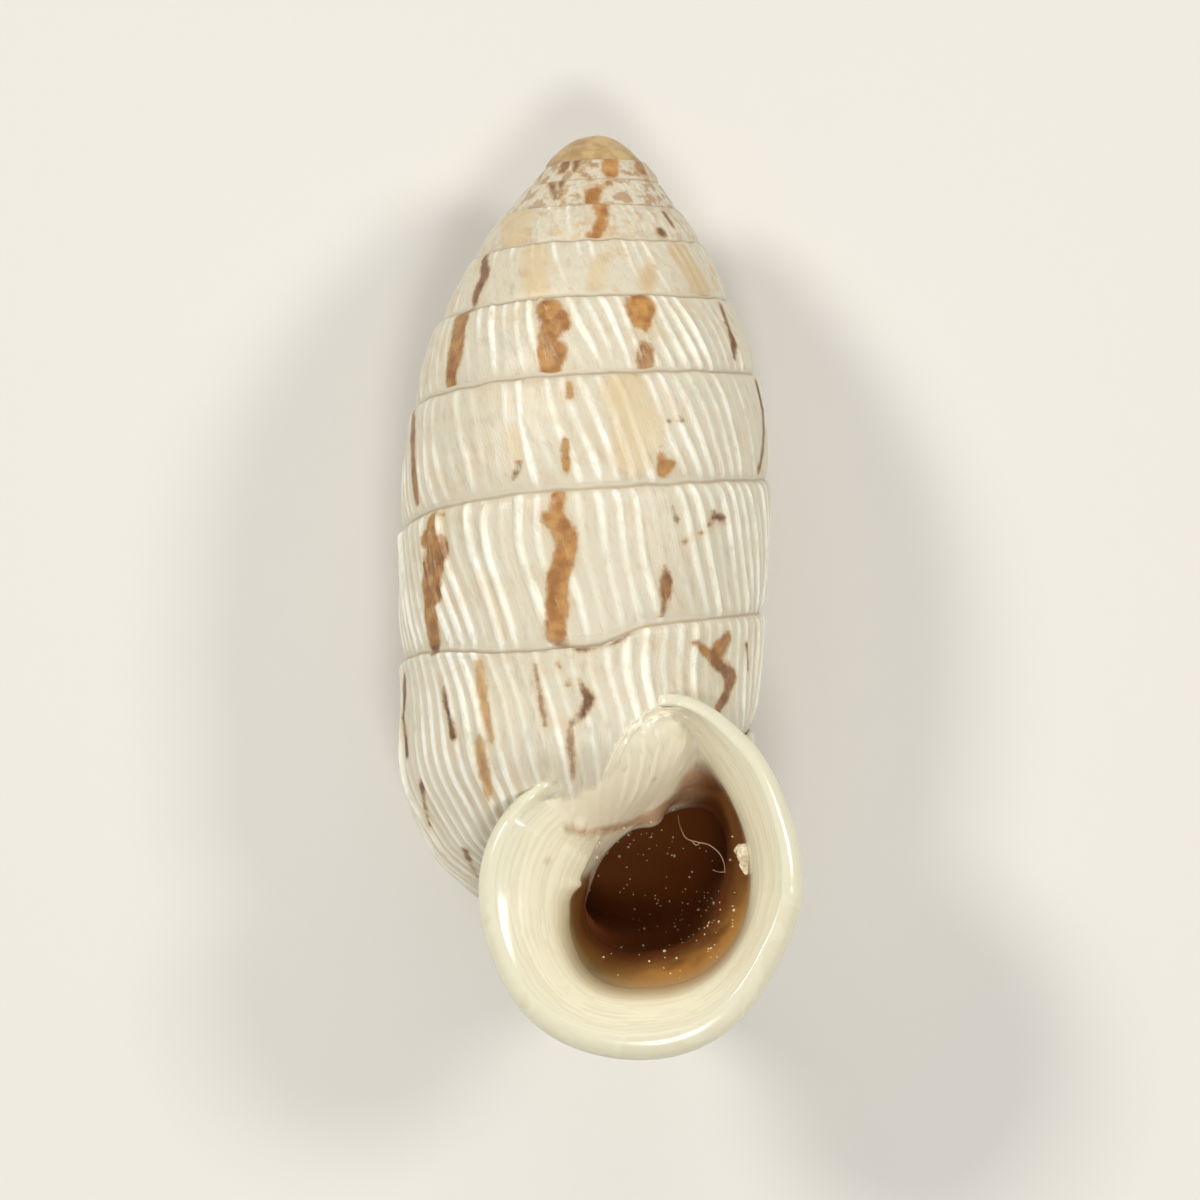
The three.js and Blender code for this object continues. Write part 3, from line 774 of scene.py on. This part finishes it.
last_height = SUTURE_PER_TURN[-2, 1] - SUTURE_PER_TURN[-1, 1]
suture_gap = np.where(down_at < 0.5, down_at, 1 - down_at)
suture_gap = suture_gap * last_height * np.clip(turn_at / 9, 0.1, 1)
suture_gap[(turn_at > WHORLS - 1) & (down_at > 0.5)] = 1
suture_gap[turn_at < 0.9] = 1
below_centre = -from_centre[:, 1] / divisor
lowness = smoothstep(0, 0.9, below_centre)
corner = plateau(CORNER_HOURS, hour_at)
stain_start = 0.97 - 0.36 * lowness + 0.7 * corner
stain_end = 1.04 + 0.3 * lowness + 0.8 * corner
stain = smoothstep(stain_start, stain_end, inside_at)
depth = np.clip((inside_at - 1.04 - 0.1 * lowness) / 0.9, 0, 2)
low_side = smoothstep(-0.2, 0.5, below_centre)
for _ in range(STAIN_PASSES):
    stain, depth = eased(stain), eased(depth)
# Where the throat is painted with a glow of light shining through the thin wall: low on the right.
amber_side = smoothstep(0.35, 0.95, (from_centre @ np.array((0.6, -0.8))) / divisor)

for vert, place in zip(joined.verts, surface):
    vert.co = placed(place)
bmesh.ops.recalc_face_normals(joined, faces=joined.faces)
for face in joined.faces:
    face.smooth = True
joined.to_mesh(shell.data)
joined.free()
point_values = dict(
    turn=turn_at, down=down_at, growth=laid_at, relief=relief_at, lip=lip_at, inside=inside_at,
    callus=on_callus * 1.0, suture_gap=suture_gap, mark_gap=mark_gap, mark_tone=mark_tone,
    stain=stain, depth=depth, amber_side=amber_side, low_side=low_side,
)
for name, values in point_values.items():
    layer = shell.data.attributes.new(name, "FLOAT", "POINT")
    layer.data.foreach_set("value", values.astype(np.float32))


# Shell's material
# Aragonite is white and a little translucent. The whorls are softly glossy over fine growth
# lines, the lip and the callus have the wet gloss of porcelain, and the throat is brown.


def srgb(red, green, blue):
    return (*(((value / 255 + 0.055) / 1.055) ** 2.4 for value in (red, green, blue)), 1)


def node(tree, kind, inputs=(), **settings):
    """A node with its settings, and with its inputs linked or set."""
    made = tree.nodes.new("ShaderNode" + kind)
    for name, value in settings.items():
        setattr(made, name, value)
    for name, value in dict(inputs).items():
        if isinstance(value, bpy.types.NodeSocket):
            tree.links.new(value, made.inputs[name])
        else:
            made.inputs[name].default_value = value
    return made


class Recipe:
    """Short names for the nodes that one material is mixed from."""

    def __init__(self, name):
        self.material = bpy.data.materials.new(name)
        self.material.use_nodes = True
        self.tree = self.material.node_tree
        self.shader = self.tree.nodes["Principled BSDF"]

    def attribute(self, name):
        return node(self.tree, "Attribute", attribute_name=name).outputs["Fac"]

    def math(self, operation, *values):
        return node(self.tree, "Math", enumerate(values), operation=operation).outputs[0]

    def mask(self, value, low, high):
        """0 below low and 1 above high, or the other way round where low is the larger."""
        inputs = {"Value": value, "From Min": low, "From Max": high}
        return node(self.tree, "MapRange", inputs, interpolation_type="SMOOTHSTEP").outputs["Result"]

    def mix(self, share, first, second):
        inputs = {0: share, 6: first, 7: second}
        return node(self.tree, "Mix", inputs, data_type="RGBA").outputs[2]

    def point(self, x, y, z=0.0):
        return node(self.tree, "CombineXYZ", enumerate((x, y, z))).outputs[0]

    def noise(self, place, scale, detail=2.0, roughness=0.5):
        inputs = {"Vector": place, "Scale": scale, "Detail": detail, "Roughness": roughness}
        return node(self.tree, "TexNoise", inputs).outputs["Fac"]

    def set(self, **inputs):
        for name, value in inputs.items():
            socket = self.shader.inputs[name.replace("_", " ")]
            if isinstance(value, bpy.types.NodeSocket):
                self.tree.links.new(value, socket)
            else:
                socket.default_value = value


stone = Recipe("aragonite")
mask, mix, noise, attribute = stone.mask, stone.mix, stone.noise, stone.attribute
plus, minus, times = (partial(stone.math, name) for name in ("ADD", "SUBTRACT", "MULTIPLY"))
turn, down, growth, relief, lip, inside = (
    attribute(name) for name in ("turn", "down", "growth", "relief", "lip", "inside")
)
in_place = node(stone.tree, "TexCoord").outputs["Object"]

cloud = noise(in_place, 420, 3)
fine_cloud = noise(in_place, 1600, 3)
growth_place = stone.point(times(growth, 60.0), times(down, 2.0), turn)
streak = noise(growth_place, 2.2, 3, 0.6)
stria_place = stone.point(times(growth, 60.0), times(down, 1.2), turn)
stria = noise(stria_place, 9.0, 2, 0.6)

# The wall: the grooves between the ribs greyed as painted shade, the ribs' crests whitened as a painted
# highlight, and ochre and grey patches.
white = mix(mask(cloud, 0.35, 0.7), srgb(236, 232, 212), srgb(253, 252, 242))
groove_shaded = mix(mask(relief, 0.3, 0.0), white, srgb(217, 209, 187))
crest_highlighted = mix(mask(relief, 0.3, 0.7), groove_shaded, srgb(255, 254, 236))
patch_place = stone.point(times(growth, 34.0), times(down, 2.6), turn)
patch = noise(patch_place, 1.0, 4, 0.62)
tanned_share = plus(0.28, times(mask(turn, 7.2, 5.0), 0.4))
tanning = times(mask(patch, 0.5, 0.68), tanned_share)
tanned = mix(tanning, crest_highlighted, srgb(212, 180, 136))
greyed = mix(times(mask(patch, 0.44, 0.3), 0.5), tanned, srgb(200, 195, 178))
streaked = mix(times(mask(streak, 0.5, 0.75), 0.42), greyed, srgb(184, 166, 136))
lined = mix(times(mask(stria, 0.52, 0.75), 0.16), streaked, srgb(160, 136, 100))

# The first two whorls: a tan nucleus, and brown mottling below it.
mottle = times(mask(noise(in_place, 2900, 3), 0.46, 0.62), 0.8)
young = times(mask(turn, 2.0, 2.15), mask(turn, 5.2, 2.7))
mottled = mix(times(mottle, young), lined, srgb(172, 128, 82))
nucleus = mix(mask(fine_cloud, 0.35, 0.65), srgb(170, 136, 84), srgb(206, 176, 124))
hatched = mix(mask(turn, 2.12, 1.95), mottled, nucleus)

# The flames: brown, darker at their rims, with wavering edges and a faint halo.
broad = times(minus(noise(in_place, 1400, 3), 0.5), 0.3)
fine = times(minus(noise(in_place, 7000, 2), 0.5), 0.09)
wobble = plus(plus(broad, fine), times(minus(streak, 0.5), 0.16))
gap = plus(attribute("mark_gap"), wobble)
tone = attribute("mark_tone")
shade = noise(in_place, 2200, 3)
dark_brown = mix(mask(shade, 0.3, 0.7), srgb(92, 62, 42), srgb(136, 92, 52))
orange_brown = mix(mask(shade, 0.3, 0.7), srgb(160, 106, 52), srgb(200, 150, 84))
pigment = mix(mask(tone, 0.1, 0.6), dark_brown, orange_brown)
pigment = mix(mask(tone, 0.7, 1.1), pigment, srgb(214, 190, 138))
rim = times(mask(gap, -0.09, -0.01), mask(shade, 0.45, 0.75))
rimmed = mix(rim, pigment, srgb(98, 64, 36))
crisp = times(mask(gap, 0.07, -0.1), mask(streak, 0.85, 0.6))
soft = times(mask(gap, 0.4, -0.45), 0.34)
pale_mark = mask(tone, 0.72, 0.98)
strength = node(stone.tree, "Mix", {0: pale_mark, 2: crisp, 3: soft}, data_type="FLOAT").outputs[0]
haloed = mix(times(mask(gap, 0.2, -0.02), 0.4), hatched, srgb(214, 186, 138))
flamed = mix(strength, haloed, rimmed)

line_wobble = times(minus(fine_cloud, 0.5), 0.08)
seam = mask(plus(attribute("suture_gap"), line_wobble), 0.08, 0.0)
wall_color = mix(times(seam, 0.55), flamed, srgb(170, 142, 108))

# The lip and the callus: layers of cream glaze. It is lighter towards the inside of the funnel, partly
# its own tone and partly painted light on the slope that faces inwards.
margin = mix(mask(inside, 0.02, 0.4), srgb(229, 225, 201), srgb(241, 235, 208))
layered = stone.point(times(inside, 9.0), times(cloud, 2.0))
layers = times(mask(noise(layered, 2.5, 3), 0.42, 0.62), 0.35)
porcelain = mix(layers, margin, srgb(214, 203, 170))
callus = attribute("callus")
# The callus is its cream glaze made lighter, as painted light against the shade it lies in.
callus_glaze_and_painted_light = mix(callus, porcelain, srgb(252, 244, 218))
plain_glaze = mix(minus(lip, times(callus, 0.3)), wall_color, callus_glaze_and_painted_light)
band = times(mask(gap, 0.15, -0.2), times(lip, 0.7))
glazed = mix(band, plain_glaze, srgb(184, 134, 96))

# The throat: olive low on the left, amber low on the right as a painted glow of light through the thin
# wall, dark brown further in deepened with painted shade, and a lighter amber in the hollow behind as
# painted light.
sheen = mask(noise(in_place, 900, 3, 0.6), 0.35, 0.65)
low, throat_depth = attribute("low_side"), attribute("depth")
uneven_depth = plus(throat_depth, times(minus(sheen, 0.5), 0.2))
olive = mix(sheen, srgb(126, 98, 52), srgb(162, 132, 80))
high = mix(sheen, srgb(92, 50, 24), srgb(132, 78, 42))
sided = mix(low, high, olive)
# Amber low on the right is a painted glow of light through the thin wall.
amber_share = attribute("amber_side")
amber = mix(amber_share, sided, srgb(196, 140, 70))
brown_depth = minus(uneven_depth, times(amber_share, 0.12))
browner = mix(mask(brown_depth, 0.02, 0.5), amber, srgb(134, 90, 44))
# Darker further in: the throat's own brown deepened with painted shade.
darker = mix(mask(uneven_depth, 0.45, 0.95), browner, srgb(106, 60, 27))
# The hollow behind is a lighter amber: painted light where it lies in shade.
deep_amber = mix(mask(throat_depth, 1.1, 1.6), darker, srgb(136, 76, 34))
shown_through = times(mask(inside, 0.6, 1.0), times(low, 0.55))
tinted = mix(shown_through, glazed, srgb(190, 172, 128))
deep = mix(attribute("stain"), tinted, deep_amber)

polished = times(lip, mask(inside, 1.1, 0.98))
roughness = node(stone.tree, "MapRange", {"Value": polished, "To Min": 0.4, "To Max": 0.16}).outputs[0]
stria_height = times(stria, minus(1.0, lip))
bump_height = plus(stria_height, times(fine_cloud, 0.25))
bump = node(stone.tree, "Bump", {"Height": bump_height, "Strength": 0.35, "Distance": 0.00004})
stone.set(Base_Color=deep, Roughness=roughness, Normal=bump.outputs[0])
stone.set(IOR=1.55, Subsurface_Weight=0.12, Subsurface_Scale=0.0006, Subsurface_Radius=(1.0, 0.8, 0.5))
shell.data.materials.clear()
shell.data.materials.append(stone.material)
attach(shell, "root")
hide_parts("shell")


# Crumb
# A cream crumb of dried mortar, less than a millimetre across, is caught on the right edge of the
# throat. It is matt and rough, and holds by itself.

CRUMB_PX = ((746, 855, 9.5), (746, 866, 6.5), (741, 850, 5))
CRUMB_SWELL = 1.25
CRUMB_LIFT = 0.08
CHIPS = 7


def loose_piece(name, shape, material):
    """A piece by itself, made of a shape about the shell's axis."""
    for vert in shape.verts:
        vert.co = placed(vert.co)
    piece = as_object(name, shape)
    piece.data.materials.append(material)
    return piece


def pebble(heap, middle, size, bumpiness, rng):
    """Add a lump with flat chips and hollows to a heap."""
    fineness = 4 if size > 0.1 else 1
    lump = bmesh.ops.create_icosphere(heap, subdivisions=fineness, radius=1)["verts"]
    stretch = [rng.uniform(0.75, 1.2) for _ in range(3)]
    cuts = []
    for _ in range(CHIPS):
        facet = Vector([rng.gauss(0, 1) for _ in range(3)]).normalized()
        cuts.append((facet, rng.uniform(0.5, 0.9)))
    for vert in lump:
        way = vert.co.normalized()
        reach = min([1.0] + [cut / max(way @ facet, 0.05) for facet, cut in cuts])
        bumps = math.sin(9 * way.x + 4 * way.z + size * 90) * math.sin(8 * way.y - 3 * way.x)
        grain = 1 + bumpiness * bumps
        vert.co = Vector(c * k for c, k in zip(way, stretch)) * reach * grain * size + middle


crumb_shape = bmesh.new()
rng = random.Random(3)
for px, py, half_width in CRUMB_PX:
    seen, _ = seen_at(px, py, half_width)
    towards = (camera_point - Vector(seen)).normalized()
    size = CRUMB_SWELL * half_width / PX_PER_MM
    pebble(crumb_shape, Vector(seen) + towards * CRUMB_LIFT, size, 0.025, rng)
chalk = Recipe("chalk")
grit = chalk.noise(node(chalk.tree, "TexCoord").outputs["Object"], 9000, 3, 0.6)
gritty = chalk.mix(chalk.mask(grit, 0.35, 0.65), srgb(222, 204, 164), srgb(250, 240, 212))
chalk.set(Base_Color=gritty, Roughness=0.75)
crumb = loose_piece("crumb", crumb_shape, chalk.material)
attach(crumb, "root")


# Fibre
# A single pale hair, three hundredths of a millimetre thick, hangs from the mouth's roof across
# the dark throat, bends down to the crumb and ends in a short branch. It clings by itself.

FIBRE_PX = (  # points down the hair and its branches, with their heights in mm
    ((678, 815, 1.2), (680, 826, 1.5), (686, 838, 1.9), (697, 842, 2.2))
    + ((709, 845, 2.3), (719, 853, 2.3), (724, 863, 2.2), (725, 873, 2.0)),
    ((725, 872, 2.0), (719, 872, 2.1), (713, 870, 2.3)),
    ((691, 840, 2.05), (696, 845, 2.1), (700, 843, 2.2)),
)
FIBRE_RADIUS = 0.015
FIBRE_SIDES = 8

fibre_shape = bmesh.new()
for strand in FIBRE_PX:
    knots = []
    for px, py, z in strand:
        sight = sight_line(px, py)
        knots.append(camera_point + sight * ((z - camera_point.z) / sight.z))
    shares = np.linspace(0, 1, 10 * len(strand))
    path = [Vector(place) for place in curve_through(np.array(knots), shares)]
    sides, rows = FIBRE_SIDES, len(path) - 1
    grid = bmesh.ops.create_grid(fibre_shape, x_segments=sides, y_segments=rows, size=1)["verts"]
    for row, middle in enumerate(path):
        ahead = (path[min(row + 1, rows)] - path[max(row - 1, 0)]).normalized()
        side = ahead.cross(Vector((0.2, 0.3, 1))).normalized()
        other = side.cross(ahead)
        radius = FIBRE_RADIUS * (1 if 0 < row < rows else 0.5)
        for column in range(FIBRE_SIDES + 1):
            angle = -math.tau * column / FIBRE_SIDES
            spoke = side * math.cos(angle) + other * math.sin(angle)
            grid[row * (FIBRE_SIDES + 1) + column].co = middle + spoke * radius
close_ends(fibre_shape, 0.001)
bmesh.ops.recalc_face_normals(fibre_shape, faces=fibre_shape.faces)
lint = Recipe("lint")
twist = lint.noise(node(lint.tree, "TexCoord").outputs["Object"], 6000, 2)
lint.set(Base_Color=lint.mix(twist, srgb(150, 118, 86), srgb(206, 176, 140)), Roughness=0.6)
fibre = loose_piece("fibre", fibre_shape, lint.material)
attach(fibre, "root")


# Dust
# Pale grains of dust, up to a tenth of a millimetre across, have settled on the brown wall of
# the throat, most of them low on the right.

DUST_FIELDS = (  # how many, then middle and spread in picture points
    (50, 705, 915, 17, 22),
    (75, 665, 895, 42, 40),
    (20, 645, 850, 30, 12),
    (10, 700, 960, 25, 8),
)
DUST_PX = (0.8, 0.9, 1.1, 1.4, 1.9)
DUST_HIGHEST_Z = 3.0
DUST_LIFT = 0.01

dust_shape = bmesh.new()
dust_rng = random.Random(12)
for count, px, py, spread_x, spread_y in DUST_FIELDS:
    for _ in range(count):
        place = (dust_rng.gauss(px, spread_x), dust_rng.gauss(py, spread_y))
        half_width = dust_rng.choice(DUST_PX)
        sight = sight_line(*place)
        hit = shell_sight.ray_cast(camera_point, sight)[0]
        if hit and hit.z <= DUST_HIGHEST_Z:
            pebble(dust_shape, hit - sight * DUST_LIFT, half_width / PX_PER_MM, 0.05, dust_rng)
dust = loose_piece("dust", dust_shape, chalk.material)
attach(dust, "root")


# Floor and light
# The shell lies on a pale, matt floor. A soft lamp on either side gives the twin glints along
# its ribs and lip, two weaker ones fill in from its two ends, and a faint light comes all round.

floor_shape = bmesh.new()
bmesh.ops.create_grid(floor_shape, x_segments=1, y_segments=1, size=1.5)
floor = as_object("floor", floor_shape)
paper = Recipe("paper")
paper.set(Base_Color=srgb(226, 224, 219), Roughness=0.8)
floor.data.materials.append(paper.material)

for name, place, size, power, color in (
    ("left_lamp", (-0.36, 0.2, 0.42), 0.13, 1.45, (1.0, 0.98, 0.92)),
    ("right_lamp", (0.4, 0.12, 0.45), 0.13, 1.15, (1.0, 0.97, 0.91)),
    ("near_lamp", (0.06, -0.2, 0.5), 0.1, 0.75, (1.0, 0.98, 0.94)),
    ("top_lamp", (0.0, 0.5, 0.5), 0.5, 0.6, (1.0, 0.98, 0.95)),
):
    lamp = bpy.data.lights.new(name, "AREA")
    lamp.size, lamp.energy, lamp.color = size, power, color
    holder = bpy.data.objects.new(name, lamp)
    holder.location = place
    holder.rotation_euler = Vector(place).to_track_quat("Z", "Y").to_euler()
    bpy.context.scene.collection.objects.link(holder)

sky = bpy.data.worlds.new("sky")
sky.use_nodes = True
glow = sky.node_tree.nodes["Background"].inputs
glow["Color"].default_value = (1.0, 0.985, 0.96, 1)
glow["Strength"].default_value = 0.3
bpy.context.scene.world = sky
bpy.context.scene.view_settings.view_transform = "Standard"
